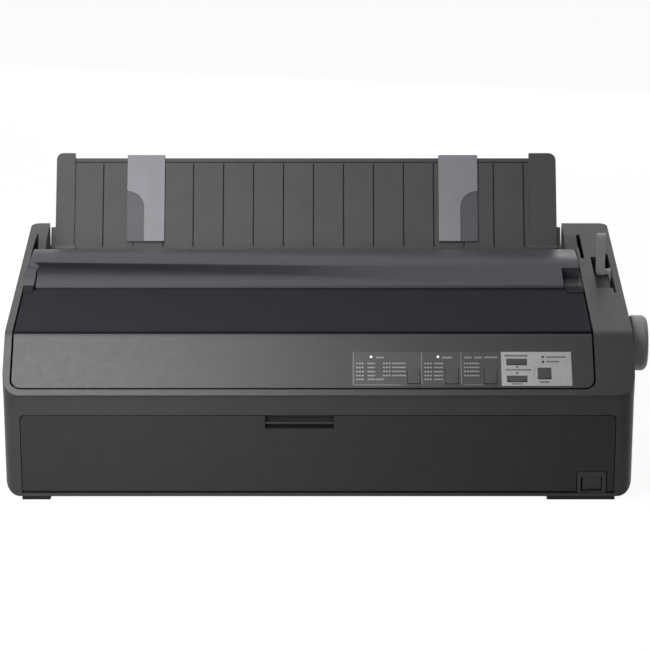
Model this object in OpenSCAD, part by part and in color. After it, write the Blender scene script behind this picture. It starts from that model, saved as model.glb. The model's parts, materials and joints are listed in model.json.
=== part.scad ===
// Wide-carriage dot matrix printer, in millimetres.
// X runs to the right, Y to the back and Z up. The origin is on the table under the middle of the
// overall box, which takes in the platen knob on the right and the raised sheet guide at the back.

/* [Case] */
// Width of the case without the platen knob
body_w = 617.5; // [612:0.5:624]
// Depth of the case from the lip to the rear wall
body_d = 351; // [346:1:356]
// Overall width with the platen knob
overall_w = 639; // [636:1:642]
// Overall depth with the raised sheet guide
overall_d = 402; // [398:1:406]
// Height of the lip under the control panel
lip_z = 112; // [110:0.5:114]
// Slope of the control panel
panel_slope = 41.9; // [41:0.1:43]
// Slope of the top deck
deck_slope = 3.52; // [3:0.01:4]
// Radius of the bend between the panel and the deck
bend_r = 16; // [12:1:18]
// Thickness of the plastic walls
wall = 3; // [2.5:0.1:3.2]
// Radius of the upright front corners
corner_r = 17; // [12:1:20]
// Radius of the rolled lower side edges
tuck_r = 14; // [10:1:16]

/* [Feet] */
// Height of the rubber feet
foot_h = 5; // [4:0.5:6]

/* [Platen] */
// Radius of the rubber roller
platen_r = 18; // [16:0.5:19]
// Radius of the platen knob
knob_r = 28; // [26:0.5:30]
// Radius of the platen shaft
platen_shaft_r = 5; // [4:0.5:6]

/* [Sheet guide] */
// Lean of the raised sheet guide from level
guide_lean = 58.4; // [56:0.1:61]
// Length of the sheet guide posts above their pivot
guide_len = 106; // [100:1:108]
// Spacing of the upright grooves
groove_pitch = 32.4; // [30:0.1:34]

/* [Print carriage] */
// Width of the print carriage
carriage_w = 40; // [34:1:44]
// Radius of the carriage shaft
carriage_shaft_r = 6; // [5:0.5:7]

/* [Tractors] */
// Radius of the tractor shafts
tractor_shaft_r = 4; // [3.5:0.25:4.5]
// Number of pins on each sprocket
sprocket_pins = 6; // [4:1:8]

/* [Hidden] */
$fn = 48;

// Case limits
x_left = -overall_w / 2;
x_right = x_left + body_w;
y_lip = -overall_d / 2;
y_face = y_lip + 2;
y_rear = y_lip + body_d;
skirt_z = foot_h + 3;
kink_y = y_lip + 52.1;
kink_z = lip_z + (kink_y - y_lip) * tan(panel_slope);
// Where the control panel starts, up the slope from the lip
panel_foot = 8.2;
rear_corner_r = 9;

// Opening of the upper case that the fascia and the covers fill
inset_left = x_left + 7.2;
inset_right = x_right - 38.5;
// Paper opening behind the covers, between the two rear blocks
block_y = y_rear - 70;
slot_left = x_left + 19.5;
slot_right = x_right - 48.5;
slot_floor = 118;

// Door in the front wall, its knuckle and the notch that clears the power switch
door_left = -302;
door_right = 279;
door_top = 89.7;
door_r = 5;
door_t = 3;
knuckle_r = 3.4;
door_axis = [y_face + knuckle_r, 12.2];
door_gap = 0.8;
notch_left = 242.5;
notch_right = 272.5;
notch_top = 31.5;
grip_left = -63;
grip_right = 4;
grip_bottom = 76;
grip_ledge = 82.6;
grip_foot = 40;
press_fit = 0.01;

// Axes that run along X, as [y, z]
hook_depth = 4.4;
platen_axis = [-80, 123];
cover_axis = [-38, 161.5];
bar_axis = [72, 166];
guide_axis = [overall_d / 2 - (guide_len - 2) * cos(guide_lean) - hook_depth * sin(guide_lean), 150];
carriage_axis = [-125, 95];
drive_axis = [112, 132];
support_axis = [96, 118];
idler_axis = [-44, 90];
pinion_axis = [-30, 62];
release_axis = [10, 100];
running_fit = 0.05;

// Steel side plates
plate_t = 2;
left_plate_x = -262;
right_plate_x = 215;
base_top = skirt_z + 1.5;

// Gears and pulleys on the left of the left side plate
gear_x = [-276, -269];
pulley_x = [-288, -278];
platen_gear_r = 26;
idler_gear_r = 22;
pinion_r = 8;
idler_pulley_r = 15;
drive_pulley_r = 10.4;

// Carriage drive under the platen
belt_y = -94;
motor_x = -236;
tension_x = 190;
belt_z = [72, 78];
belt_pulley_r = 10;
carriage_x = -26;

// Tractors, placed by their outer cheek
tractor_left_x = -206;
tractor_right_x = 154;
tractor_w = 22;

// Sheet guide
guide_left = -294.5;
guide_right = 244.8;
left_post_w = 20;
right_post_w = 29;
edge_left = [-218, -177.5];
edge_right = [118, 160];

// How far a cut or a joined piece runs past a face
eps = 1;

// ---------- helpers ----------

function deck_z(y) = kink_z + (y - kink_y) * tan(deck_slope);
function arc(c, r, a0, a1, n = 6) =
    [for (i = [0:n]) c + r * [cos(a0 + (a1 - a0) * i / n), sin(a0 + (a1 - a0) * i / n)]];
function rounded(lo, hi, r) = concat(
    arc([hi.x - r, hi.y - r], r, 0, 90), arc([lo.x + r, hi.y - r], r, 90, 180),
    arc([lo.x + r, lo.y + r], r, 180, 270), arc([hi.x - r, lo.y + r], r, 270, 360));
// Outline of a belt round two pulleys of radii ra and rb
function belt_loop(a, ra, b, rb) =
    let (t = atan2(b.y - a.y, b.x - a.x), side = acos((ra - rb) / norm(b - a)))
    concat(arc(b, rb, t - side, t + side, 16), arc(a, ra, t + side, t + 360 - side, 16));
function gear_outline(teeth, r_tip, depth) =
    [for (i = [0:teeth - 1], k = [0:3])
        let (a = (i + [0, 0.22, 0.5, 0.72][k]) * 360 / teeth, r = k < 2 ? r_tip : r_tip - depth)
        r * [cos(a), sin(a)]];

module block(lo, hi) translate(lo) cube(hi - lo);
module across(x0, x1) translate([x0, 0, 0]) rotate([90, 0, 90]) linear_extrude(x1 - x0) children();
module rod(x0, x1, at, r) translate([x0, at[0], at[1]]) rotate([0, 90, 0]) cylinder(h = x1 - x0, r = r);
module upright(at, z0, z1, r) translate([at[0], at[1], z0]) cylinder(h = z1 - z0, r = r);
// A place on the slope: s up from the lip, h out of the surface
function on_slope(s, h) =
    [y_lip + s * cos(panel_slope) - h * sin(panel_slope), lip_z + s * sin(panel_slope) + h * cos(panel_slope)];
module on_panel() translate([0, on_slope(panel_foot, 0)[0], on_slope(panel_foot, 0)[1]])
    rotate([panel_slope, 0, 0]) children();
module on_guide() translate([0, guide_axis[0], guide_axis[1]]) rotate([guide_lean, 0, 0]) children();

// ---------- case ----------

bend_centre = [kink_y, kink_z] - bend_r / (1 + cos(panel_slope - deck_slope))
    * [-sin(panel_slope) - sin(deck_slope), cos(panel_slope) + cos(deck_slope)];
// Side outline of the case, drawn in by t from the outer faces
function side_outline(t) = concat(
    [[y_rear - t, foot_h - 1], [y_rear - t, deck_z(y_rear - t) - t / cos(deck_slope)]],
    arc(bend_centre, bend_r - t, 90 + deck_slope, 90 + panel_slope, 6),
    t > 0 ? [[y_face + t, lip_z + (y_face + t - y_lip) * tan(panel_slope) - t / cos(panel_slope)]]
        : [[y_lip, lip_z], [y_lip + 0.2, lip_z - 1], [y_face, lip_z - lip_t]],
    [[y_face + t, foot_h - 1]]);
lip_t = 2;
function plan_outline(t, front) = concat(
    arc([x_right - rear_corner_r, y_rear - rear_corner_r], rear_corner_r - t, 0, 90),
    arc([x_left + rear_corner_r, y_rear - rear_corner_r], rear_corner_r - t, 90, 180),
    arc([x_left + corner_r, front + corner_r], corner_r - t, 180, 270),
    arc([x_right - corner_r, front + corner_r], corner_r - t, 270, 360));
function front_outline(t) = concat(
    [[x_right - t, 300], [x_left + t, 300]],
    arc([x_left + tuck_r, foot_h + tuck_r], tuck_r - t, 180, 270),
    arc([x_right - tuck_r, foot_h + tuck_r], tuck_r - t, 270, 360));

module case_solid(t) intersection() {
    across(x_left, x_right) polygon(side_outline(t));
    union() {
        linear_extrude(lip_z - lip_t) polygon(plan_outline(t, y_face));
        translate([0, 0, lip_z - lip_t - eps]) linear_extrude(200) polygon(plan_outline(t, y_lip));
    }
    translate([0, 300, 0]) rotate([90, 0, 0]) linear_extrude(600) polygon(front_outline(t));
}

module lower_case() color("#2b2b2d") {
    difference() {
        intersection() {
            case_solid(0);
            block([x_left, y_lip, foot_h], [x_right, y_rear, skirt_z]);
        }
        for (x = screw_xs, y = screw_ys) upright([x, y], foot_h - eps, skirt_z + eps, 2.3);
    }
    // front paper well: its back wall and two cheeks
    block([-296, -120, skirt_z], [241, -117, 80]);
    block([-296, -184, skirt_z], [-293, -120, 80]);
    block([238, -170, skirt_z], [241, -120, 80]);
}
screw_xs = [-285, 265];
screw_ys = [-100, 100];

module upper_case() color("#3a3a3c") difference() {
    union() {
        difference() {
            intersection() {
                case_solid(0);
                union() {
                    difference() {
                        block([x_left - eps, y_lip - eps, skirt_z], [x_right + eps, y_rear + eps, 300]);
                        case_solid(wall);
                    }
                    // band behind the lip that carries the fascia
                    block([x_left, y_lip, lip_z - 4], [x_right, y_face + 12, lip_z + 14]);
                    // solid rims beside the opening and blocks beside the paper opening
                    block([x_left, kink_y - 20, 145], [inset_left + 4, block_y + eps, 300]);
                    block([inset_right - 4, kink_y - 20, 138], [inset_right + 3, block_y + eps, 300]);
                    block([x_left, block_y, slot_floor], [slot_left, y_rear, 300]);
                    block([slot_right, block_y, slot_floor], [inset_right + 3, y_rear, 300]);
                    // pad round the release lever, hollowed underneath along the lever's swing
                    difference() {
                        block([lever_pocket[0] - 2, -52, 140], [x_right - 1, 64, 300]);
                        rod(lever_pocket[0] - 3, x_right, release_axis, lever_swing_r - 3);
                    }
                    block([door_left - 7, y_face, skirt_z], [door_left - 1.3, y_face + 9, 22]);
                    block([door_right + 1.3, y_face, skirt_z], [door_right + 7, y_face + 9, 22]);
                }
            }
            // seat of the fascia, and the opening behind it and under the covers
            on_panel() translate([0, 0, -wall]) linear_extrude(wall + 3)
                polygon(panel_outline(inset_left, inset_right, -groove_w, 22, panel_corner_r + groove_w));
            across(inset_left, inset_right) polygon([on_slope(ledge_s, 0.5 - wall), on_slope(ledge_s, -14),
                [block_y, on_slope(ledge_s, -14)[1]], [block_y, 300], on_slope(20, 60),
                on_slope(20, 0.5 - wall)]);
            // paper opening at the back
            block([slot_left, block_y - eps, slot_floor], [slot_right, y_rear + eps, 300]);
        }
        // lug that steadies the end of the release shaft
        block([lug_x, release_axis[0] - 9, release_axis[1] - 9],
            [x_right - wall, release_axis[0] + 9, release_axis[1] + 9]);
        // fixed halves of the hinge arms, behind the arms of the printer cover
        across(inset_left - 1, arm_left) polygon([[-28.5, 152], [6.8, 152], [6.8, deck_z(6.8) + 4.6],
            [-9, deck_z(-9) + 0.5], [-28.5, deck_z(-28.5) + 0.5]]);
        block([arm_right, -28.5, 152], [inset_right + 1, 6.8, deck_z(-28.5) - 3.5]);
    }
    // door opening
    translate([0, y_face + 8, 0]) rotate([90, 0, 0]) linear_extrude(20)
        polygon(rounded([door_left - door_gap, -20], [door_right + door_gap, door_top + door_gap], door_r));
    rod(door_left - 5, door_left, door_axis, 2 + running_fit);
    rod(door_right, door_right + 5, door_axis, 2 + running_fit);
    // hinge bores of the covers and the sheet guide
    for (axis = [cover_axis, bar_axis]) {
        rod(inset_left - 4.5, inset_left + eps, axis, 3 + running_fit);
        rod(inset_right - eps, inset_right + 4, axis, 3 + running_fit);
    }
    rod(slot_left - 6.5, slot_left + eps, guide_axis, 4 + running_fit);
    rod(slot_right - eps, slot_right + 6.5, guide_axis, 4 + running_fit);
    // platen shaft hole, release shaft bore and release lever slot
    rod(x_right - wall - eps, x_right + eps, platen_axis, platen_shaft_r + 1);
    rod(lug_x - eps, lug_x + 2.2, release_axis, 4 + running_fit);
    block([lever_slit[0], -47, 140], [lever_slit[1], 60, 300]);
    // pocket that the lever's handle swings over
    difference() {
        block([lever_pocket[0], -34, 140], [lever_slit[0] + eps, 52, 300]);
        rod(lever_pocket[0] - eps, lever_slit[0] + 2, release_axis, lever_swing_r);
    }
    // slits and sloping steps of the two rear blocks
    translate([0, 0, 161]) linear_extrude(60)
        polygon([[-312.3, block_y], [-307.2, block_y], [-309.6, 118], [-311.2, 118]]);
    block([inset_right + 3, 48, 161], [inset_right + 6.7, 116, 300]);
    for (x = [[-309.5, slot_left + eps], [slot_right - eps, inset_right + 3]])
        across(x[0], x[1]) polygon([[block_y - eps, deck_z(block_y) - 7], [114, deck_z(114) + 0.2],
            [114, 300], [block_y - eps, 300]]);
    // rear sockets
    block([149.5, y_rear - 8, 23.5], [178.5, y_rear + eps, 48.5]);
    block([-226, y_rear - 8, 23], [-164, y_rear + eps, 41]);
    block([-146, y_rear - 8, 23], [-132, y_rear + eps, 36]);
    // cooling slots in both side walls
    for (i = [0:8], x = [x_left, x_right])
        translate([x, 20 + i * 11, 45]) rotate([0, 90, 0]) translate([0, 0, -wall - eps])
            linear_extrude(2 * wall + 2 * eps) polygon(rounded([-20, -2], [20, 2], 1.9));
}

// The lever's slit, the pocket beside it as [left, right], and the swing of the handle's lower end
lever_slit = [288.7, 291.3];
lever_pocket = [272.6, 288.7];
lever_swing_r = 61;
lug_x = x_right - 5.4;
// Inner ends of the printer cover's two hinge arms
arm_left = inset_left + 10.3;
arm_right = inset_right - 18.4;

module rubber_feet() color("#171717") {
    for (lo = [[-303, -196], [-303, 118]])
        block([lo.x, lo.y, 0], [lo.x + 28, lo.y + 22, foot_h]);
    block([214, -196, 0], [281, -174, foot_h]);
    block([253, 118, 0], [281, 140, foot_h]);
}

module case_screws() color("silver") for (x = screw_xs, y = screw_ys) {
    upright([x, y], foot_h - 2, skirt_z, 2);
    difference() {
        upright([x, y], foot_h - 3.4, foot_h, 4);
        block([x - 3, y - 0.6, foot_h - 3.5], [x + 3, y + 0.6, foot_h - 2.4]);
    }
}

// ---------- control panel ----------

groove_w = 2;
fascia_left = inset_left + groove_w;
fascia_right = inset_right - groove_w;
fascia_len = 60;
panel_corner_r = 9;
// How far up the slope the case's ledge under the fascia reaches
ledge_s = 10.8;
label_t = 0.8;
label_split = 167.6;
status_span = [[21.7, 2], [label_split, 39.6]];
button_span = [[label_split, 2], [236.3, 39.6]];
// [left, right, lower edge, upper edge] of each key, up the slope of the panel
font_key = [76.1, 88.1, 4.2, 20.7];
pitch_key = [112.8, 125.4, 4.2, 20.7];
tear_off_key = [151, 163.2, 4.2, 20.7];
micro_feed_key = [173.1, 192.4, 6.4, 13];
load_key = [173.1, 192.4, 25.2, 31.8];
pause_key = [203.3, 216, 9.7, 21.8];
keys = [font_key, pitch_key, tear_off_key, micro_feed_key, load_key, pause_key];
lamps = [[40.4, 34], [105.9, 34], [208.5, 28.5], [208.5, 34]];
lamp_r = 1.1;
key_gap = 0.35;
board_depth = 13.5;

module key_holes(z0, z1) for (k = keys)
    block([k[0] - key_gap, k[2] - key_gap, z0], [k[1] + key_gap, k[3] + key_gap, z1]);
module lamp_holes(z0, z1) for (p = lamps) upright(p, z0, z1, lamp_r + 0.05);

// Outline on the slope from s0 to s1, with two round lower corners
function panel_outline(x0, x1, s0, s1, r) = concat([[x1, s1], [x0, s1]],
    arc([x0 + r, s0 + r], r, 180, 270), arc([x1 - r, s0 + r], r, 270, 360));
// The top skin of the case's outline, between two planes across it
module top_skin(x0, x1) across(x0, x1) difference() {
    polygon(side_outline(0));
    polygon(side_outline(wall));
}

module control_panel_fascia() color("#5c5c5e") {
    difference() {
        union() {
            intersection() {
                top_skin(fascia_left, fascia_right);
                on_panel() translate([0, 0, -10]) linear_extrude(12)
                    polygon(panel_outline(fascia_left, fascia_right, 0, fascia_len, panel_corner_r));
            }
            // stiffening flange at the top edge
            block([fascia_left + 10, kink_y - 4.6, kink_z - 14], [fascia_right - 10, kink_y - 1.6, kink_z - 5.4]);
        }
        on_panel() {
            key_holes(-10, 1);
            lamp_holes(-10, 1);
            for (s = [status_span, button_span])
                block([s[0].x, s[0].y, -label_t], [s[1].x, s[1].y, 1]);
        }
    }
    on_panel() for (x = [25, 232], s = [12, 43]) upright([x, s], -board_depth, -wall, 2.5);
}

module label(span) on_panel() difference() {
    block([span[0].x, span[0].y, -label_t], [span[1].x, span[1].y, 0.15]);
    key_holes(-2, 2);
    lamp_holes(-2, 2);
}
module status_label() color("#303033") label(status_span);
module button_label() color("#9c9c9e") label(button_span);
module indicator_lenses() color("#f2f2ea") on_panel() for (p = lamps) upright(p, -4, 0.5, lamp_r);

module control_board() color("#1f5a3a") on_panel() {
    block([20, 4, -board_depth - 1.6], [236, 47, -board_depth]);
    for (k = keys) {
        centre = [(k[0] + k[1]) / 2, (k[2] + k[3]) / 2];
        block([centre.x - 3, centre.y - 3, -board_depth], [centre.x + 3, centre.y + 3, -board_depth + 3.5]);
    }
}

module key(k) color("#2a2a2c") on_panel() {
    block([k[0], k[2], -6.5], [k[1], k[3], 1.1]);
    block([k[0] - 1, k[2] - 1, -6.5], [k[1] + 1, k[3] + 1, -4]);
    upright([(k[0] + k[1]) / 2, (k[2] + k[3]) / 2], -board_depth + 4.7, -6.5, 1.5);
}
module font_button() key(font_key);
module pitch_button() key(pitch_key);
module tear_off_button() key(tear_off_key);
module micro_feed_button() key(micro_feed_key);
module load_button() key(load_key);
module pause_button() key(pause_key);

// ---------- covers and door ----------

module printer_cover() color("#2a2a30") {
    front = kink_y + 2.2;
    back = cover_axis[0] - 2.5;
    intersection() {
        top_skin(fascia_left, fascia_right);
        block([fascia_left, front, 100], [fascia_right, back, 300]);
    }
    block([fascia_left, front, deck_z(front) - 5], [fascia_right, front + wall, deck_z(front) - 2.2]);
    // hinge arms
    for (x = [[fascia_left, arm_left], [arm_right, fascia_right]])
        across(x[0], x[1]) polygon([[back - 8, deck_z(back - 8) - wall], [back - 2, 158], [-31, 158],
            [-31, deck_z(-31) + 0.9], [back - 7, deck_z(back - 7) + 0.9], [back - 8, deck_z(back - 8) + 0.2]]);
    rod(inset_left - 3.3, fascia_left + eps, cover_axis, 3);
    rod(fascia_right - eps, inset_right + 3.1, cover_axis, 3);
}

// The raised bar behind the printer cover: full width at the back, narrower in front of the step
bar_front = -28;
bar_step = 8;
bar_ridge = 22;
bar_back = 75.6;
bar_ridge_z = 176.5;
function bar_top(y) = y < bar_ridge
    ? bar_ridge_z - (bar_ridge - y) * 10 / 48
    : bar_ridge_z - (y - bar_ridge) * 4 / 50;

module rear_cover() color("#4a4a4f") {
    nose_left = arm_left + 2.1;
    nose_right = arm_right - 2.1;
    inner_front = bar_front + wall + 1;
    inner_back = bar_back - wall;
    difference() {
        union() {
            across(nose_left, nose_right) polygon([[bar_front, 164], [bar_front + 1.2, 162.8],
                [bar_front + 1.2, 159], [inner_front + 1, 159], [inner_front + 1, 162.5],
                [bar_step + 8, 162.5], [bar_step + 8, bar_top(bar_step + 8)],
                [bar_front + 1.5, bar_top(bar_front + 1.5)]]);
            across(fascia_left, fascia_right) polygon([[bar_step, bar_top(bar_step)],
                [bar_step, 161.5], [bar_axis[0] - 3, 161.5], [bar_back, 163.5],
                [bar_back, bar_top(bar_back) - 2], [bar_back - 2, bar_top(bar_back - 2)],
                [bar_ridge, bar_ridge_z]]);
        }
        across(nose_left + wall, nose_right - wall) polygon([[inner_front, 150],
            [bar_ridge, 150], [bar_ridge, bar_ridge_z - wall], [inner_front, bar_top(inner_front) - wall]]);
        across(fascia_left + wall, fascia_right - wall) polygon([[bar_step + wall, 150],
            [inner_back, 150], [inner_back, bar_top(inner_back) - wall], [bar_ridge, bar_ridge_z - wall],
            [bar_step + wall, bar_top(bar_step + wall) - wall]]);
    }
    rod(inset_left - 3.3, fascia_left + eps, bar_axis, 3);
    rod(fascia_right - eps, inset_right + 3.1, bar_axis, 3);
}

module front_sheet_guide() color("#343436") {
    difference() {
        union() {
            translate([0, y_face + door_t, 0]) rotate([90, 0, 0]) linear_extrude(door_t)
                polygon(concat([[door_left, door_axis[1]], [door_right, door_axis[1]]],
                    arc([door_right - door_r, door_top - door_r], door_r, 0, 90),
                    arc([door_left + door_r, door_top - door_r], door_r, 90, 180)));
            rod(door_left, door_right, door_axis, knuckle_r);
            // stiffening ribs
            for (x = [-270, -180, 120, 210])
                block([x, y_face + door_t, 24], [x + 2.5, y_face + 9, door_top - 6]);
        }
        block([notch_left, y_face - eps, 0], [notch_right, y_face + 20, notch_top]);
        // gap in the top edge that the finger grip is pressed into
        block([grip_left - 3, y_face - eps, grip_foot], [grip_right + 3, y_face + 20, door_top + eps]);
    }
    // finger grip: a cup that is open at the top, with a ledge across its mouth
    difference() {
        union() {
            block([grip_left - 3 + press_fit, y_face, grip_foot + press_fit],
                [grip_right + 3 - press_fit, y_face + door_t, door_top]);
            block([grip_left - 3 + press_fit, y_face, grip_bottom - 3],
                [grip_right + 3 - press_fit, y_face + 12.5, door_top]);
        }
        block([grip_left, y_face - eps, grip_bottom], [grip_right, y_face + 10.5, door_top + eps]);
    }
    across(grip_left - eps, grip_right + eps) polygon([[y_face + 0.8, grip_ledge - 1.6],
        [y_face + 3.6, grip_ledge - 1.6], [y_face + 3.6, grip_ledge], [y_face + 1.4, grip_ledge],
        [y_face + 0.8, grip_ledge - 0.6]]);
    rod(door_left - 4, door_left, door_axis, 2);
    rod(door_right, door_right + 4, door_axis, 2);
}

// ---------- power switch ----------

switch_x = (notch_left + notch_right) / 2;
rocker_y = y_face + 9.5;
rocker_tilt = 5;

module power_switch_housing() color("#2c2c2e") difference() {
    block([notch_left + 0.7, y_face + 0.8, skirt_z], [notch_right - 0.7, y_face + 26, notch_top - 0.7]);
    block([switch_x - 10.3, y_face - eps, 10], [switch_x + 10.3, y_face + 16, 25]);
    upright([switch_x, rocker_y], 8.8, 26.2, 1 + running_fit);
}

module power_rocker() color("#1c1c1e") translate([switch_x, rocker_y, 0]) rotate([0, 0, rocker_tilt]) {
    translate([0, 0, 10.4]) linear_extrude(14.2)
        polygon([[-9.3, -5.6], [0, -4.6], [9.3, -5.6], [8, 1.5], [0, 4], [-8, 1.5]]);
    upright([0, 0], 9, 26, 1);
}

// ---------- sheet guide ----------

panel_top = guide_len - 5;
module sheet_guide() color("#464648") {
    on_guide() difference() {
        block([guide_left + left_post_w - eps, -2, -1.5], [guide_right - right_post_w + eps, panel_top, 1.5]);
        for (i = [0:14])
            block([-244.5 + i * groove_pitch, -3, 0.8], [-243.1 + i * groove_pitch, panel_top - 6, 3]);
        block([guide_left + left_post_w, panel_top - 5, 0.8], [guide_right - right_post_w, panel_top - 4, 3]);
    }
    on_guide() {
        translate([0, 0, -3]) linear_extrude(7.5) polygon(concat(
            [[guide_left, 0], [guide_left + left_post_w, 0]], [[guide_left + left_post_w, guide_len]],
            arc([guide_left + 7, guide_len - 7], 7, 90, 180)));
        translate([0, 0, -3]) linear_extrude(7.5) polygon(concat(
            [[guide_right, 0], [guide_right - right_post_w, 0]], [[guide_right - right_post_w, guide_len]],
            arc([guide_right - 8, guide_len - 8], 8, 90, 0)));
    }
    rod(guide_left, guide_left + left_post_w + 1.5, guide_axis, 5.5);
    rod(guide_right - right_post_w - 1.5, guide_right, guide_axis, 5.5);
    // ears beside the posts, in the paper opening
    on_guide() {
        block([guide_left - 4.7, -5, -3.6], [guide_left + eps, 24, 2.4]);
        block([guide_right - eps, -5, -3.6], [guide_right + 4, 24, 2.4]);
    }
    rod(guide_left - 11, guide_left + eps, guide_axis, 4);
    rod(guide_right - eps, guide_right + 10.5, guide_axis, 4);
}

// Edge guide: a face plate that hooks over the top edge of the sheet guide. Its lower outer part is
// set back, under a quarter round that starts at the outer edge
module edge_guide(x0, x1, outer_x) color("#6c6c70") on_guide() {
    difference() {
        block([x0, 8, 1.9], [x1, panel_top + 3, 4.4]);
        intersection() {
            union() {
                block([outer_x - edge_round, 8 - eps, 3.4], [outer_x + edge_round, edge_round_s, 6]);
                upright([outer_x, edge_round_s], 3.4, 6, edge_round);
            }
            block([x0 - eps, 8 - eps, 3], [x1 + eps, panel_top, 6]);
        }
    }
    block([x0, panel_top + 0.5, -hook_depth], [x1, panel_top + 3, 1.9]);
    block([x0, panel_top - 12, -hook_depth], [x1, panel_top + 0.5, -1.9]);
}
edge_round = 18.5;
edge_round_s = 45;
module edge_guide_left() edge_guide(edge_left[0], edge_left[1], edge_left[0]);
module edge_guide_right() edge_guide(edge_right[0], edge_right[1], edge_right[1]);

// ---------- frame ----------

module base_plate() color("silver") {
    block([-290, -112, skirt_z], [272, 138, base_top]);
    upright([tension_x, belt_y], base_top, belt_z[0] - 3, 6);
    upright([tension_x, belt_y], belt_z[0] - 3, belt_z[1] + 4, 2.5);
}

plate_outline = [[-112, base_top], [130, base_top], [130, 146], [-60, 150], [-100, 138],
    [-142, 138], [-142, 86], [-112, 86]];
module shaft_bush(x0, x1, axis, r_out) rod(x0, x1, axis, r_out);

module side_plate(x0, outward) color("#b9bbbd") difference() {
    union() {
        across(x0, x0 + plate_t) polygon(plate_outline);
        shaft_bush(outward < 0 ? x0 - 3 : x0, outward < 0 ? x0 + plate_t : x0 + plate_t + 3, platen_axis, 9);
        shaft_bush(outward < 0 ? x0 - 2 : x0, outward < 0 ? x0 + plate_t : x0 + plate_t + 2, drive_axis, 7.5);
        if (outward < 0) rod(pulley_x[0] - 1, x0, idler_axis, 3);
    }
    rod(x0 - 5, x0 + 8, platen_axis, platen_shaft_r + running_fit);
    rod(x0 - 5, x0 + 8, drive_axis, tractor_shaft_r + running_fit);
    rod(x0 - 5, x0 + 8, carriage_axis, carriage_shaft_r + 0.01);
    rod(x0 - 5, x0 + 8, support_axis, tractor_shaft_r + 0.01);
    if (outward < 0) rod(x0 - eps, x0 + plate_t + eps, pinion_axis, 6);
    if (outward > 0) rod(x0 - eps, x0 + plate_t + eps, release_axis, 4 + running_fit);
}
module left_side_plate() side_plate(left_plate_x, -1);
module right_side_plate() side_plate(right_plate_x, 1);

module guide_shafts() color("#d5d7d9") {
    rod(left_plate_x - 8, right_plate_x + 6, carriage_axis, carriage_shaft_r);
    rod(left_plate_x - 2, right_plate_x + 4, support_axis, tractor_shaft_r);
}

module carriage_rail() color("#b4b6b8") {
    block([left_plate_x + plate_t, -145, 79], [right_plate_x, -131, 81]);
    block([left_plate_x + plate_t, -145, 81], [right_plate_x, -143.5, 90]);
}

module paper_guide_plate() color("#a9abad") {
    block([left_plate_x + plate_t, -56, 112], [right_plate_x, 84, 113.5]);
    block([left_plate_x + plate_t, 82.5, 104], [right_plate_x, 84, 112]);
}

// ---------- platen and paper feed ----------

module platen_roller() color("#222222") difference() {
    rod(-250, 198, platen_axis, platen_r);
    rod(-251, 199, platen_axis, platen_shaft_r);
}
module platen_shaft() color("#d0d2d4") rod(gear_x[0] - 2, overall_w / 2 - 12, platen_axis, platen_shaft_r);
module platen_knob() color("#57575a") difference() {
    knob_w = overall_w / 2 - x_right;
    translate([x_right, platen_axis[0], platen_axis[1]]) rotate([0, 90, 0]) rotate_extrude($fn = 72)
        polygon(concat([[0, 0.8], [11, 0.8], [11, 4.5]], arc([knob_r - 1.5, 6], 1.5, -90, 0, 2),
            arc([knob_r - 6, knob_w - 6], 6, 0, 90, 6), [[12, knob_w], [10, knob_w - 1.5], [0, knob_w - 1.5]]));
    rod(x_right, overall_w / 2 - 12, platen_axis, platen_shaft_r);
}
module gear(x, axis, teeth, r_tip, bore) difference() {
    translate([0, axis[0], axis[1]]) across(x[0], x[1]) polygon(gear_outline(teeth, r_tip, 2.2));
    rod(x[0] - eps, x[1] + eps, axis, bore);
}
module platen_gear() color("#e8e4d8") gear(gear_x, platen_axis, 52, platen_gear_r, platen_shaft_r);
module idler_gear() color("#e8e4d8") {
    gear(gear_x, idler_axis, 44, idler_gear_r, 3 + running_fit);
    difference() {
        union() {
            rod(gear_x[0] - 2, gear_x[0], idler_axis, 9);
            rod(pulley_x[0], pulley_x[1], idler_axis, idler_pulley_r);
        }
        rod(pulley_x[0] - eps, gear_x[0] + eps, idler_axis, 3 + running_fit);
    }
}
module feed_pinion() color("#cfb36a") {
    gear(gear_x, pinion_axis, 16, pinion_r, 2.5);
    rod(gear_x[0] - 1, left_plate_x + plate_t + 6, pinion_axis, 2.5);
}
module feed_motor() color("#4a4d50") difference() {
    union() {
        block([left_plate_x + plate_t, pinion_axis[0] - 24, pinion_axis[1] - 24],
            [left_plate_x + plate_t + 2, pinion_axis[0] + 24, pinion_axis[1] + 24]);
        rod(left_plate_x + plate_t + 2, left_plate_x + plate_t + 34, pinion_axis, 21);
    }
    rod(left_plate_x, left_plate_x + plate_t + 8, pinion_axis, 2.5 + running_fit);
}
module feed_belt() color("#1d1d1d") across(pulley_x[0] + 1, pulley_x[1] - 1) difference() {
    polygon(belt_loop(idler_axis, idler_pulley_r + 2, drive_axis, drive_pulley_r + 2));
    polygon(belt_loop(idler_axis, idler_pulley_r + 0.4, drive_axis, drive_pulley_r + 0.4));
}
module tractor_drive_shaft() color("#d0d2d4") {
    rod(pulley_x[0], right_plate_x + 6, drive_axis, tractor_shaft_r);
    difference() {
        rod(pulley_x[0], pulley_x[1], drive_axis, drive_pulley_r);
        rod(pulley_x[0] - eps, pulley_x[1] + eps, drive_axis, tractor_shaft_r);
    }
}

// ---------- tractors, drawn with the outer cheek at x = 0 and the paper side towards +X ----------

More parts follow.
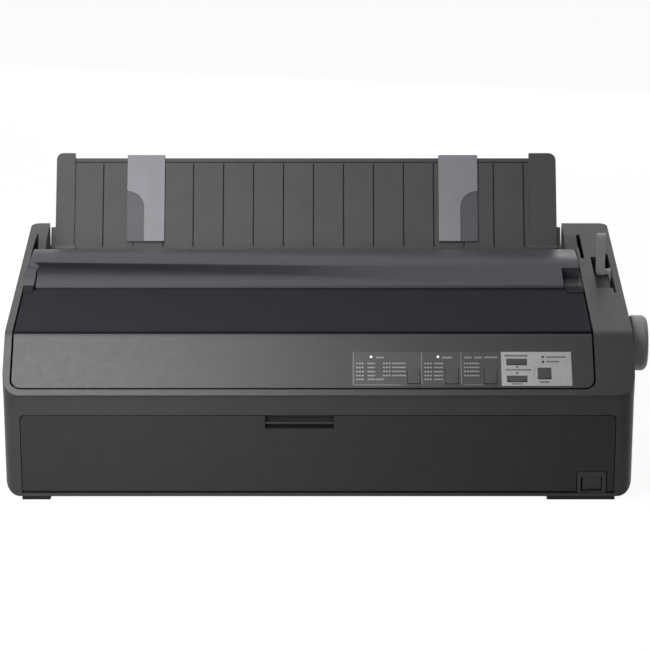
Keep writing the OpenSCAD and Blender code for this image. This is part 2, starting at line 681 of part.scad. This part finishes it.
module tractor_frame() difference() {
    union() {
        across(0, 6) polygon(rounded([88, 110], [130, 141], 4));
        block([6, 92, 110], [tractor_w, 124, 112.5]);
        for (y = [[94, 99.6], [120.4, 126]]) {
            block([-4.4, y[0], 137], [2, y[1], 143.6]);
            block([-4.4, y[0], 143.6], [0.3, y[1], 146]);
        }
    }
    rod(-eps, 7, support_axis, tractor_shaft_r + 0.06);
    rod(-eps, 7, drive_axis, tractor_shaft_r + 0.3);
    translate([-2.4, 93, 144]) rotate([-90, 0, 0]) cylinder(h = 34, r = 1.2 + running_fit);
}
module tractor_cover() {
    block([0.8, 92, 144.4], [tractor_w, 128, 146.4]);
    block([-2.4, 100, 144.4], [0.8, 120, 146]);
    translate([-2.4, 100, 144]) rotate([-90, 0, 0]) cylinder(h = 20, r = 2);
    translate([-2.4, 95, 144]) rotate([-90, 0, 0]) cylinder(h = 30, r = 1.2);
}
module tractor_sprocket() difference() {
    union() {
        rod(7.5, 14, drive_axis, 9);
        for (i = [0:sprocket_pins - 1])
            translate([10.75, drive_axis[0], drive_axis[1]]) rotate([i * 360 / sprocket_pins, 0, 0])
                cylinder(h = 11.2, r = 1.5);
    }
    rod(7, 15, drive_axis, tractor_shaft_r + running_fit);
}
module tractor_lock() difference() {
    union() {
        rod(-6, -0.6, support_axis, 7);
        across(-6, -0.6) polygon([[92, 121], [98, 124.6], [90, 141], [84, 139.5]]);
    }
    rod(-7, 0, support_axis, tractor_shaft_r + 0.06);
}
module at_left_tractor() translate([tractor_left_x, 0, 0]) children();
module at_right_tractor() translate([tractor_right_x, 0, 0]) mirror([1, 0, 0]) children();
module tractor_left() color("#3c3c40") at_left_tractor() tractor_frame();
module tractor_left_cover() color("#55555a") at_left_tractor() tractor_cover();
module tractor_left_sprocket() color("#d8d4c8") at_left_tractor() tractor_sprocket();
module tractor_left_lock() color("#7a7a80") at_left_tractor() tractor_lock();
module tractor_right() color("#3c3c40") at_right_tractor() tractor_frame();
module tractor_right_cover() color("#55555a") at_right_tractor() tractor_cover();
module tractor_right_sprocket() color("#d8d4c8") at_right_tractor() tractor_sprocket();
module tractor_right_lock() color("#7a7a80") at_right_tractor() tractor_lock();

// ---------- levers ----------

module paper_release_lever() color("#77777b") {
    rod(right_plate_x - 6, lug_x + 1.7, release_axis, 4);
    rod(lever_slit[0] - 2.7, lever_slit[1] - 0.4, release_axis, 8);
    // flat stem in the slit, and the handle beside it over the pocket
    across(lever_slit[0] + 0.4, lever_slit[1] - 0.4) polygon([[4, 96], [16, 96], [22, 162], [23, 168.5],
        [15.5, 168.5], [13, 162]]);
    across(280, lever_slit[0] + 0.4 + eps / 2) polygon([[15.8, 163.8], [22, 163.8], [22.4, 168], [16, 168]]);
    across(275.8, 284.8) polygon(concat([[15.5, 163], [23, 163], [24.5, 203]],
        arc([20.8, 203], 3.7, 0, 180, 8)));
}
module thickness_lever() color("#5a7f9e") difference() {
    union() {
        rod(left_plate_x - 6, left_plate_x - 3, carriage_axis, 10);
        across(left_plate_x - 6, left_plate_x - 3) polygon([[-129, 103], [-121, 103], [-117, 148], [-123, 148]]);
        block([left_plate_x - 6, -124, 148], [left_plate_x + 6, -116, 151]);
    }
    rod(left_plate_x - 7, left_plate_x, carriage_axis, carriage_shaft_r + running_fit);
}

// ---------- carriage, head and ribbon ----------

module carriage() color("#2e2e31") difference() {
    block([carriage_x - carriage_w / 2, -140, 84], [carriage_x + carriage_w / 2, -107, 108]);
    rod(carriage_x - carriage_w, carriage_x + carriage_w, carriage_axis, carriage_shaft_r + 0.06);
    block([carriage_x - carriage_w, -129, 83], [carriage_x + carriage_w, -121, 86]);
}
module print_head() color("#8d9094") {
    difference() {
        block([carriage_x - 16, -126, 108], [carriage_x + 16, -106, 134]);
        for (z = [112:5:132]) {
            block([carriage_x - 17, -127, z], [carriage_x - 10, -105, z + 2.2]);
            block([carriage_x + 10, -127, z], [carriage_x + 17, -105, z + 2.2]);
        }
    }
    across(carriage_x - 5, carriage_x + 5) polygon([[-106, 114], [-100.4, 119], [-100.4, 127], [-106, 132]]);
}
module ribbon_cartridge() color("#26262a") {
    difference() {
        block([-252, -146, 112], [200, -130, 140]);
        block([-240, -147, 118], [188, -144.5, 134]);
        upright([knob_at.x, knob_at.y], 133, 141, 2 + running_fit);
    }
    for (x = [[-252, -232], [180, 200]])
        translate([0, 0, 112]) linear_extrude(20) polygon([[x[0], -130], [x[1], -130],
            [x[0] < 0 ? x[1] : x[0] + 8, -99], [x[0] < 0 ? x[1] - 8 : x[0], -99]]);
    block([-232, -99.8, 116], [180, -99.4, 130]);
}
knob_at = [158, -138];
module ribbon_knob() color("#3a6ea5") {
    upright(knob_at, 133.5, 140.5, 2);
    translate([knob_at.x, knob_at.y, 140.5]) linear_extrude(6) polygon(gear_outline(14, 7.5, 1.2));
}
module carriage_motor() color("#4a4d50") difference() {
    union() {
        upright([motor_x, belt_y], 24, 64, 17);
        block([motor_x - 20, belt_y - 17, base_top], [motor_x + 20, belt_y + 20, 24]);
    }
    upright([motor_x, belt_y], 56, 65, 2.5 + running_fit);
}
module motor_pulley() color("#d8d4c8") {
    upright([motor_x, belt_y], belt_z[0] - 1, belt_z[1] + 1, belt_pulley_r);
    upright([motor_x, belt_y], 57, belt_z[0] - 1, 2.5);
}
module idler_pulley() color("#d8d4c8") difference() {
    upright([tension_x, belt_y], belt_z[0] - 1, belt_z[1] + 1, belt_pulley_r);
    upright([tension_x, belt_y], belt_z[0] - 4, belt_z[1] + 5, 2.5 + running_fit);
}
module carriage_belt() color("#1d1d1d") translate([0, 0, belt_z[0]]) linear_extrude(belt_z[1] - belt_z[0])
    difference() {
        polygon(belt_loop([motor_x, belt_y], belt_pulley_r + 1.8, [tension_x, belt_y], belt_pulley_r + 1.8));
        polygon(belt_loop([motor_x, belt_y], belt_pulley_r + 0.4, [tension_x, belt_y], belt_pulley_r + 0.4));
    }

// ---------- electronics ----------

module main_board() color("#1f5a3a") {
    block([-240, 0, 14], [60, 136, 15.6]);
    for (x = [-232, 52], y = [8, 128]) upright([x, y], base_top, 14, 3);
    block([-120, 40, 15.6], [-85, 75, 18.6]);
    block([-60, 30, 15.6], [-30, 90, 20]);
    block([-200, 30, 15.6], [-150, 42, 34]);
    block([0, 20, 15.6], [40, 60, 19]);
    for (x = [-20, 5, 30]) upright([x, 100], 15.6, 40, 9);
}
module power_supply() color("#a7a9ab") difference() {
    block([70, 0, base_top], [200, y_rear - 22, 60]);
    for (x = [80:12:188]) block([x, 10, 58], [x + 5, y_rear - 32, 61]);
}
module ac_inlet() color("#1a1a1a") {
    difference() {
        block([150, y_rear - 22, 24], [178, y_rear, 48]);
        block([153, y_rear - 17, 27], [175, y_rear + eps, 45]);
    }
    for (p = [[157, 32], [171, 32], [164, 39]])
        block([p.x - 1, y_rear - 18, p.y - 2], [p.x + 1, y_rear - 6, p.y + 2]);
}
module interface_ports() color("#9b9da0") {
    difference() {
        block([-225, y_rear - 12, 24], [-165, y_rear, 40]);
        block([-219, y_rear - 9, 27], [-171, y_rear + eps, 37]);
    }
    block([-215, y_rear - 9, 30], [-175, y_rear - 5.5, 33]);
    difference() {
        block([-145, y_rear - 12, 24], [-133, y_rear, 35]);
        block([-143.5, y_rear - 9, 25.5], [-134.5, y_rear + eps, 33.5]);
    }
    block([-225, y_rear - 14, 15.6], [-133, y_rear - 12, 40]);
}

lower_case();
upper_case();
control_panel_fascia();
status_label();
button_label();
indicator_lenses();
control_board();
base_plate();
left_side_plate();
right_side_plate();
guide_shafts();
carriage_rail();
paper_guide_plate();
ribbon_cartridge();
carriage_motor();
carriage_belt();
feed_motor();
feed_belt();
main_board();
power_supply();
ac_inlet();
interface_ports();
rubber_feet();
case_screws();
power_switch_housing();
power_rocker();
printer_cover();
rear_cover();
front_sheet_guide();
sheet_guide();
edge_guide_left();
edge_guide_right();
platen_roller();
platen_shaft();
platen_knob();
platen_gear();
idler_gear();
feed_pinion();
tractor_drive_shaft();
tractor_left();
tractor_left_cover();
tractor_left_sprocket();
tractor_left_lock();
tractor_right();
tractor_right_cover();
tractor_right_sprocket();
tractor_right_lock();
paper_release_lever();
thickness_lever();
carriage();
print_head();
motor_pulley();
idler_pulley();
ribbon_knob();
font_button();
pitch_button();
tear_off_button();
micro_feed_button();
load_button();
pause_button();
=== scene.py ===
"""Wide-carriage dot matrix printer: finishes, printed marks, small details, camera and light."""
import math

import bmesh
import bpy
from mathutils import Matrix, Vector
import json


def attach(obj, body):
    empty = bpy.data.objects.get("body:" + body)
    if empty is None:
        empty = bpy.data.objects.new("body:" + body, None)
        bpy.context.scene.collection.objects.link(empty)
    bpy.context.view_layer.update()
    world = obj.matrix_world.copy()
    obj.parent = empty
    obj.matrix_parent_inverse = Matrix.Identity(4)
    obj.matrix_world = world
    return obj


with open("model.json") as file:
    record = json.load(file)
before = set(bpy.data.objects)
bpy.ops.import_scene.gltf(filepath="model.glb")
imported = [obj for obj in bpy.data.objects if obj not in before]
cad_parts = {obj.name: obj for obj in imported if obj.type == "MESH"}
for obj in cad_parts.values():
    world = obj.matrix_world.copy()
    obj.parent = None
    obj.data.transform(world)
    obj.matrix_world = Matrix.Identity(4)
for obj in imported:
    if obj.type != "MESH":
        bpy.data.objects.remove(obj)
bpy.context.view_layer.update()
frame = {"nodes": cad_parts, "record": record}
nodes = frame["nodes"]
MM = 0.001

# ---------- camera ----------

PHOTO_PX = 650
FOCAL_PX = 3000
SENSOR_MM = 36
CAMERA_AT = (-0.0046, -2.9297, 1.1432)
CAMERA_DOWN = 19.36


def make_camera():
    data = bpy.data.cameras.new("photo_camera")
    data.sensor_width = SENSOR_MM
    data.lens = SENSOR_MM * FOCAL_PX / PHOTO_PX
    data.clip_end = 50
    camera = bpy.data.objects.new("photo_camera", data)
    bpy.context.scene.collection.objects.link(camera)
    camera.location = CAMERA_AT
    camera.rotation_euler = (math.radians(90 - CAMERA_DOWN), 0, 0)
    bpy.context.scene.camera = camera


make_camera()

# ---------- materials ----------


def linear(hex_colour):
    """An sRGB colour written as a hex string, as linear RGBA."""
    channels = [int(hex_colour[i:i + 2], 16) / 255 for i in (1, 3, 5)]
    return [c / 12.92 if c < 0.04045 else ((c + 0.055) / 1.055) ** 2.4 for c in channels] + [1]


class Shader:
    """A node material under construction."""

    def __init__(self, name):
        self.material = bpy.data.materials.new(name)
        self.material.use_nodes = True
        self.tree = self.material.node_tree
        self.surface = self.tree.nodes["Principled BSDF"]
        self.place = None

    def node(self, kind, **inputs):
        made = self.tree.nodes.new(kind)
        for name, value in inputs.items():
            made.inputs[name.replace("_", " ")].default_value = value
        return made

    def link(self, source, target):
        self.tree.links.new(source, target)

    def position(self):
        if self.place is None:
            self.place = self.tree.nodes.new("ShaderNodeTexCoord").outputs["Object"]
        return self.place

    def noise(self, per_metre, detail=2.0, stretch=None):
        made = self.node("ShaderNodeTexNoise", Scale=per_metre, Detail=detail)
        source = self.position()
        if stretch:
            mapping = self.node("ShaderNodeMapping", Scale=stretch)
            self.link(source, mapping.inputs["Vector"])
            source = mapping.outputs["Vector"]
        self.link(source, made.inputs["Vector"])
        return made.outputs["Fac"]

    def ramp(self, fac, low, high, low_at=0.3, high_at=0.7):
        made = self.tree.nodes.new("ShaderNodeValToRGB")
        made.color_ramp.elements[0].position = low_at
        made.color_ramp.elements[1].position = high_at
        made.color_ramp.elements[0].color = low
        made.color_ramp.elements[1].color = high
        self.link(fac, made.inputs["Fac"])
        return made.outputs["Color"]

    def bump(self, heights, distances, strength=1.0):
        """Bump from several height fields, finest last."""
        normal = None
        for height, distance in zip(heights, distances):
            made = self.node("ShaderNodeBump", Strength=strength, Distance=distance)
            self.link(height, made.inputs["Height"])
            if normal:
                self.link(normal, made.inputs["Normal"])
            normal = made.outputs["Normal"]
        self.link(normal, self.surface.inputs["Normal"])

    def set(self, **values):
        for name, value in values.items():
            self.surface.inputs[name.replace("_", " ")].default_value = value


def scaled(colour, factor):
    return [min(1, c * factor) for c in colour[:3]] + [1]


def plastic(name, colour, roughness=0.42, grain=1.0, spread=0.05, level=0.35):
    """Moulded plastic: spark-eroded grain, slight mottle in colour and in gloss."""
    s = Shader(name)
    base = linear(colour)
    mottle = s.noise(45, 3)
    s.link(s.ramp(mottle, scaled(base, 1 - spread), scaled(base, 1 + spread)),
           s.surface.inputs["Base Color"])
    gloss = s.noise(160, 2)
    low, high = roughness - 0.03, roughness + 0.03
    s.link(s.ramp(gloss, [low] * 3 + [1], [high] * 3 + [1]), s.surface.inputs["Roughness"])
    s.bump([s.noise(900, 2), s.noise(2600, 1)], [0.00003 * grain, 0.00002 * grain])
    s.set(Specular_IOR_Level=level)
    return s.material


def rubber(name, colour):
    s = Shader(name)
    base = linear(colour)
    s.link(s.ramp(s.noise(300, 4), scaled(base, 0.8), scaled(base, 1.25)), s.surface.inputs["Base Color"])
    s.bump([s.noise(1800, 3)], [0.00005])
    s.set(Roughness=0.75, Specular_IOR_Level=0.25)
    return s.material


def metal(name, colour, roughness, stretch=None, grain=900):
    """Metal with fine marks drawn out along one axis, or cast all over."""
    s = Shader(name)
    base = linear(colour)
    marks = s.noise(grain, 3, stretch)
    s.link(s.ramp(marks, scaled(base, 0.82), scaled(base, 1.05)), s.surface.inputs["Base Color"])
    s.link(s.ramp(marks, [roughness * 0.8] * 3 + [1], [roughness * 1.25] * 3 + [1]),
           s.surface.inputs["Roughness"])
    s.bump([marks], [0.00001])
    s.set(Metallic=1.0)
    return s.material


def film(name, colour, roughness=0.32):
    """Printed film of a control panel: smooth, with a faint unevenness."""
    s = Shader(name)
    base = linear(colour)
    s.link(s.ramp(s.noise(120, 2), scaled(base, 0.95), scaled(base, 1.05)), s.surface.inputs["Base Color"])
    s.bump([s.noise(400, 2)], [0.00001])
    s.set(Roughness=roughness, Specular_IOR_Level=0.35)
    return s.material


def circuit(name):
    """Green solder mask with darker copper areas under it."""
    s = Shader(name)
    cells = s.node("ShaderNodeTexVoronoi", Scale=140)
    cells.distance = "MANHATTAN"
    s.link(s.position(), cells.inputs["Vector"])
    s.link(s.ramp(cells.outputs["Distance"], linear("#123c28"), linear("#235f40"), 0.2, 0.35),
           s.surface.inputs["Base Color"])
    s.set(Roughness=0.35)
    return s.material


def lamp(name):
    s = Shader(name)
    base = linear("#f4f4ea")
    s.link(s.ramp(s.noise(900, 1), scaled(base, 0.95), base), s.surface.inputs["Base Color"])
    s.set(Roughness=0.2, Emission_Color=linear("#fffff0"), Emission_Strength=0.6)
    return s.material


LOOKS = {
    "case_plastic": plastic("case_plastic", "#2f2f30", roughness=0.38, level=0.22),
    "lower_case": plastic("lower_case_plastic", "#303031", roughness=0.5, level=0.25),
    "fascia_plastic": plastic("fascia_plastic", "#2f2f30", roughness=0.36, level=0.22),
    "smoked_cover": plastic("smoked_cover", "#1a1a20", roughness=0.5, grain=0.3, spread=0.03, level=0.03),
    "bar_plastic": plastic("bar_plastic", "#3b3b41", roughness=0.38, grain=0.4, spread=0.04, level=0.14),
    "door_plastic": plastic("door_plastic", "#292929", roughness=0.42, level=0.15),
    "sheet_guide_plastic": plastic("sheet_guide_plastic", "#444444", roughness=0.42, level=0.2),
    "edge_guide_plastic": plastic("edge_guide_plastic", "#7a7a80", roughness=0.4, grain=0.5),
    "dark_label": film("dark_label", "#2f2f30"),
    "light_label": film("light_label", "#929294", roughness=0.4),
    "lamp_lens": lamp("lamp_lens"),
    "key_plastic": plastic("key_plastic", "#262628", roughness=0.45),
    "black_plastic": plastic("black_plastic", "#1e1e20", roughness=0.45),
    "lever_plastic": plastic("lever_plastic", "#8a8a8c", roughness=0.42),
    "knob_plastic": plastic("knob_plastic", "#8c8c8f", roughness=0.42, spread=0.04),
    "ribbon_plastic": plastic("ribbon_plastic", "#242428", roughness=0.4, grain=0.6),
    "blue_plastic": plastic("blue_plastic", "#39649a", roughness=0.38),
    "gear_plastic": plastic("gear_plastic", "#d8d4c6", roughness=0.4, grain=0.4, spread=0.04),
    "foot_rubber": rubber("foot_rubber", "#161616"),
    "platen_rubber": rubber("platen_rubber", "#202020"),
    "belt_rubber": rubber("belt_rubber", "#191919"),
    "plate_steel": metal("plate_steel", "#b4b6b8", 0.38, grain=500),
    "shaft_steel": metal("shaft_steel", "#d2d4d6", 0.18, stretch=(60, 1, 1)),
    "brass": metal("brass", "#c2a55c", 0.28),
    "motor_steel": metal("motor_steel", "#5a5d60", 0.42),
    "head_aluminium": metal("head_aluminium", "#9a9da0", 0.45),
    "connector_metal": metal("connector_metal", "#a2a4a6", 0.3),
    "circuit_board": circuit("circuit_board"),
}

slot_of = {row["node"]: row["material_slot"] for row in frame["record"]["subparts"]}

# ---------- finish of the CAD nodes ----------

# Edge rounding of the nodes that show, in metres
ROUNDED = {
    "upper_case": 0.0010, "lower_case": 0.0006, "control_panel_fascia": 0.0006,
    "printer_cover": 0.0009, "rear_cover": 0.0013, "front_sheet_guide": 0.0007,
    "edge_guide_left": 0.0004, "edge_guide_right": 0.0004,
    "platen_knob": 0.0012, "paper_release_lever": 0.0012, "power_switch_housing": 0.0006,
    "power_rocker": 0.0006, "rubber_feet": 0.0008, "font_button": 0.0005, "pitch_button": 0.0005,
    "tear_off_button": 0.0005, "micro_feed_button": 0.0005, "load_button": 0.0005,
    "pause_button": 0.0005, "ribbon_cartridge": 0.0008, "carriage": 0.0008, "thickness_lever": 0.0006,
    "tractor_left": 0.0005, "tractor_right": 0.0005, "tractor_left_cover": 0.0004,
    "tractor_right_cover": 0.0004, "ac_inlet": 0.0004, "ribbon_knob": 0.0004,
}
EDGE_ANGLE = math.radians(24)


def round_edges(piece, width):
    """Merges the imported triangles, rounds the sharp edges and evens the shading."""
    weld = piece.modifiers.new("join", "WELD")
    weld.merge_threshold = 0.000005
    flat = piece.modifiers.new("faces", "DECIMATE")
    flat.decimate_type = "DISSOLVE"
    flat.angle_limit = math.radians(0.5)
    if width:
        bevel = piece.modifiers.new("edges", "BEVEL")
        bevel.width = width
        bevel.segments = 2
        bevel.limit_method = "ANGLE"
        bevel.angle_limit = EDGE_ANGLE
        bevel.use_clamp_overlap = True
        bevel.miter_outer = "MITER_ARC"
    shading = piece.modifiers.new("shading", "WEIGHTED_NORMAL")
    shading.keep_sharp = True


for name, piece in nodes.items():
    piece.data.materials.clear()
    piece.data.materials.append(LOOKS.get(name, LOOKS[slot_of[name]]))
    if name in ROUNDED:
        piece.data.polygons.foreach_set("use_smooth", [True] * len(piece.data.polygons))
        round_edges(piece, ROUNDED[name])
    elif name == "sheet_guide":
        piece.data.polygons.foreach_set("use_smooth", [False] * len(piece.data.polygons))

# ---------- printed marks, painted shade and small details ---

PANEL_FOOT = Vector((0, -194.897, 117.476))
PANEL_SLOPE = math.radians(41.9)
PANEL_UP = Vector((0, math.cos(PANEL_SLOPE), math.sin(PANEL_SLOPE)))
PANEL_OUT = Vector((0, -math.sin(PANEL_SLOPE), math.cos(PANEL_SLOPE)))
LABEL_TOP = 0.15
PRINT_T = 0.05
LETTER_PITCH = 1.5
LETTER_SHARE = 0.72
INK = {"light_print": film("light_print", "#808083"), "dark_print": film("dark_print", "#202022"),
       "grey_print": film("grey_print", "#55555a")}


def add_piece(name, mesh, look, body):
    """Puts a finished mesh in the scene as a piece of the object."""
    mesh.materials.append(look)
    piece = bpy.data.objects.new(name, mesh)
    bpy.context.scene.collection.objects.link(piece)
    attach(piece, body)


def solid(name, corners, look, body="case"):
    """One mesh of many six-sided blocks, each given as its eight corners in mm."""
    mesh = bpy.data.meshes.new(name)
    points, faces = [], []
    for block in corners:
        first = len(points)
        points += [[c * MM for c in corner] for corner in block]
        faces += [[first + i for i in face] for face in
                  ((0, 3, 2, 1), (4, 5, 6, 7), (0, 1, 5, 4), (1, 2, 6, 5), (2, 3, 7, 6), (3, 0, 4, 7))]
    mesh.from_pydata(points, [], faces)
    add_piece(name, mesh, look, body)


def on_panel(x0, x1, s0, s1, h0=LABEL_TOP - PRINT_T, h1=LABEL_TOP + PRINT_T):
    """A block on the panel: across x, up the slope s, and out of the surface h."""
    return [Vector((x, 0, 0)) + PANEL_FOOT + PANEL_UP * s + PANEL_OUT * h
            for h in (h0, h1) for x, s in ((x0, s0), (x1, s0), (x1, s1), (x0, s1))]


def upright_block(lo, hi):
    return [(x, y, z) for z in (lo[2], hi[2])
            for x, y in ((lo[0], lo[1]), (hi[0], lo[1]), (hi[0], hi[1]), (lo[0], hi[1]))]


def letters(x0, x1, s, tall=1.5):
    """A row of short printed blocks, centred on s up the panel."""
    count = max(2, round((x1 - x0) / LETTER_PITCH))
    step = (x1 - x0) / count
    return [on_panel(x0 + i * step, x0 + (i + LETTER_SHARE) * step, s - tall / 2, s + tall / 2)
            for i in range(count)]


def line(x0, x1, s0, s1):
    return on_panel(x0, x1, s0, s1)


def panel_marks():
    rows5, rows4 = (26.7, 22.3, 17.7, 13.3, 9.2), (26.8, 22.4, 18, 13.4)
    light = [line(22.8, 23.2, 3.8, 38.8), line(89.6, 90, 3.8, 38.8), line(128.2, 128.6, 3.8, 38.8),
             line(23.2, 71, 2.9, 3.3), line(131, 149, 2.9, 3.3)]
    dark, grey = [], []
    for left, rows in ((25.9, rows5), (52.2, rows4), (92.6, rows5), (131.2, rows4)):
        for s in rows:
            for i in range(3):
                light.append(on_panel(left + 2.7 * i, left + 2.7 * i + 1.7, s - 0.8, s + 0.8))
    for left, right in ((25.9, 50.5), (52.2, 74.5), (92.6, 111), (131.2, 149)):
        for s in (24.5, 20, 15.6, 11.3):
            dark.append(line(left, right, s - 0.5, s + 0.5))
    for x0, x1, s in ((45.3, 53.1, 33.3), (109.9, 120.2, 33.3), (131.6, 139.1, 33.3), (141.7, 149.3, 33.3),
                      (151.5, 164.2, 33.5), (45.1, 52.9, 9.2)):
        light += letters(x0, x1, s, 1.7)
    for x0, x1, rows in ((37, 44.6, rows5), (60.9, 74.5, rows4), (102, 111, rows5), (138.8, 146.4, rows4)):
        for s in rows:
            light += letters(x0, x1, s)
    for x0, x1, s, tall in ((171, 194, 35.4, 1.8), (171.7, 197.1, 19.7, 1.6), (177.6, 188, 4.2, 1.2),
                            (212.1, 231.3, 33.8, 1.7), (212.0, 224.6, 28.7, 1.7), (204.9, 214.5, 6.3, 1.7)):
        dark += letters(x0, x1, s, tall)
    for s in (22.9, 16.3):
        dark.append(on_panel(182, 184, s - 0.9, s + 0.9))
    for s in (28.5, 34):
        dark.append(on_panel(207.4, 209.6, s - 1.1, s + 1.1, 0.1, 0.55))
    grey += [line(199.8, 200.2, 14.1, 22.9), line(198.3, 200.2, 22.7, 23.1), line(198.3, 200.2, 13.9, 14.3)]
    solid("panel_light_print", light, INK["light_print"])
    solid("panel_dark_print", dark, INK["dark_print"])
    solid("panel_grey_print", grey, INK["grey_print"])


def prism(name, outline, place, h0, h1, look, body):
    """A flat outline in mm, given depth from h0 to h1, put in its place by place(a, b, h)."""
    count = len(outline)
    verts = [Vector(place(a, b, h)) * MM for h in (h0, h1) for a, b in outline]
    faces = [tuple(range(count))[::-1], tuple(range(count, 2 * count))]
    faces += [(i, (i + 1) % count, (i + 1) % count + count, i + count) for i in range(count)]
    mesh = bpy.data.meshes.new(name)
    mesh.from_pydata(verts, [], faces)
    work = bmesh.new()
    work.from_mesh(mesh)
    bmesh.ops.recalc_face_normals(work, faces=work.faces)
    work.to_mesh(mesh)
    work.free()
    add_piece(name, mesh, look, body)


def arm_cap():
    """The bar's plastic over the fixed block beside the left hinge arm."""
    side = ((-28.7, 160), (7, 160), (7, 173.1), (-9, 168), (-28.7, 166.8))
    prism("arm_cap_left", side, lambda y, z, x: (x, y, z), -312.2, -301.9,
          LOOKS["bar_plastic"], "case")


# The groove strips' near-black colour is painted shade, not a colour of the plastic.
GROOVE_SHADE_LOOK = plastic("groove_painted_shade", "#18181a", roughness=0.6, level=0.1)
# The edge plate colour is a darker copy of the edge guide plastic: painted shade on its set-back part.
EDGE_PLATE_SHADE_LOOK = plastic("edge_guide_plate_painted_shade", "#46464c", roughness=0.42, grain=0.5)
GUIDE_AXIS = (142.758, 150)
GUIDE_LEAN = math.radians(58.4)


def on_guide(x, s, h):
    """A place on the sheet guide: across x, up its face s, out of the face h."""
    return (x, GUIDE_AXIS[0] + s * math.cos(GUIDE_LEAN) - h * math.sin(GUIDE_LEAN),
            GUIDE_AXIS[1] + s * math.sin(GUIDE_LEAN) + h * math.cos(GUIDE_LEAN))


def guide_block(x0, x1, s0, s1, h0, h1):
    return [on_guide(x, s, h) for h in (h0, h1) for x, s in ((x0, s0), (x1, s0), (x1, s1), (x0, s1))]


def guide_shadows():
    """Painted shade: dark strips on the floors of the sheet guide's grooves, where shade falls."""
    floors = [guide_block(-244.4 + i * 32.4, -243.2 + i * 32.4, 3, 95, 0.75, 0.95) for i in range(15)]
    floors.append(guide_block(-274.3, 215.6, 96.1, 96.9, 0.75, 0.95))
    solid("guide_groove_painted_shade", floors, GROOVE_SHADE_LOOK, "sheet_guide")


def edge_plate(name, outer, inward):
    """The set-back lower part of an edge guide, in a darker tone that is painted shade."""
    radius, start = 18.4, 45
    arc = [(outer + inward * radius * math.sin(math.radians(a)), start + radius * math.cos(math.radians(a)))
           for a in range(0, 91, 9)]
    outline = [(outer + inward * 0.15, 8.2), (outer + inward * 0.15, arc[0][1])] + arc[1:] \
        + [(outer + inward * radius, 8.2)]
    prism(name + "_plate", outline, on_guide, 3.35, 3.5, EDGE_PLATE_SHADE_LOOK, name)


panel_marks()
arm_cap()
guide_shadows()
edge_plate("edge_guide_left", -218, 1)
edge_plate("edge_guide_right", 160, -1)

# ---------- light and background ----------


def area_light(name, at, towards, size, watts, spread=180):
    data = bpy.data.lights.new(name, "AREA")
    data.shape = "RECTANGLE"
    data.size, data.size_y = size
    data.energy = watts
    data.spread = math.radians(spread)
    light = bpy.data.objects.new(name, data)
    bpy.context.scene.collection.objects.link(light)
    light.location = at
    light.rotation_euler = (Vector(at) - Vector(towards)).to_track_quat("Z", "Y").to_euler()


area_light("overhead_left", (-0.55, -0.5, 1.5), (-0.35, -0.17, 0.13), (0.9, 0.6), 4.5, spread=80)
area_light("overhead_band", (-0.15, 0.65, 1.5), (-0.1, -0.05, 0.16), (1.3, 0.4), 4)
area_light("overhead_bar", (-0.4, 0.05, 1.5), (-0.35, -0.02, 0.16), (0.7, 0.3), 2.6)
area_light("front", (-0.3, -0.75, 0.42), (-0.25, -0.2, 0.08), (0.35, 0.35), 2.2, spread=110)
area_light("rear_low", (0.2, 1.4, 0.22), (0, 0.2, 0.1), (1.4, 0.25), 3)
area_light("back_left", (-0.6, 1.3, 0.85), (-0.2, 0, 0.16), (0.8, 0.35), 0.3)


def seen_or_reflected(tree):
    """1 for a ray from the camera, a reflection or a refraction, 0 for plain light."""
    path = tree.nodes.new("ShaderNodeLightPath")
    total = path.outputs["Is Camera Ray"]
    for kind in ("Is Glossy Ray", "Is Transmission Ray"):
        either = tree.nodes.new("ShaderNodeMath")
        either.operation = "MAXIMUM"
        tree.links.new(total, either.inputs[0])
        tree.links.new(path.outputs[kind], either.inputs[1])
        total = either.outputs[0]
    return total


def make_world():
    """White to the eye and in reflections, a soft grey as light."""
    world = bpy.data.worlds.new("studio")
    bpy.context.scene.world = world
    world.use_nodes = True
    tree = world.node_tree
    strength = tree.nodes.new("ShaderNodeMapRange")
    strength.inputs["To Min"].default_value = 0.1
    strength.inputs["To Max"].default_value = 1.0
    tree.links.new(seen_or_reflected(tree), strength.inputs["Value"])
    tree.links.new(strength.outputs["Result"], tree.nodes["Background"].inputs["Strength"])
    tree.nodes["Background"].inputs["Color"].default_value = (1, 1, 1, 1)


def make_floor():
    """A pale floor that keeps a soft shadow and reads as white."""
    bpy.ops.mesh.primitive_plane_add(size=14, location=(0, 2.0, 0))
    floor = bpy.context.active_object
    floor.name = "studio_floor"
    s = Shader("studio_floor")
    s.set(Base_Color=(0.5, 0.5, 0.5, 1), Roughness=0.9, Specular_IOR_Level=0.0)
    glow = s.node("ShaderNodeEmission", Color=(1, 1, 1, 1), Strength=1.12)
    share = s.node("ShaderNodeMapRange")
    share.inputs["To Max"].default_value = 0.85
    mix = s.tree.nodes.new("ShaderNodeMixShader")
    s.link(seen_or_reflected(s.tree), share.inputs["Value"])
    s.link(share.outputs["Result"], mix.inputs["Fac"])
    s.link(s.surface.outputs["BSDF"], mix.inputs[1])
    s.link(glow.outputs["Emission"], mix.inputs[2])
    s.link(mix.outputs["Shader"], s.tree.nodes["Material Output"].inputs["Surface"])
    floor.data.materials.append(s.material)


make_world()
make_floor()
bpy.context.scene.view_settings.view_transform = "Standard"


def write_sizes():
    import json


write_sizes()
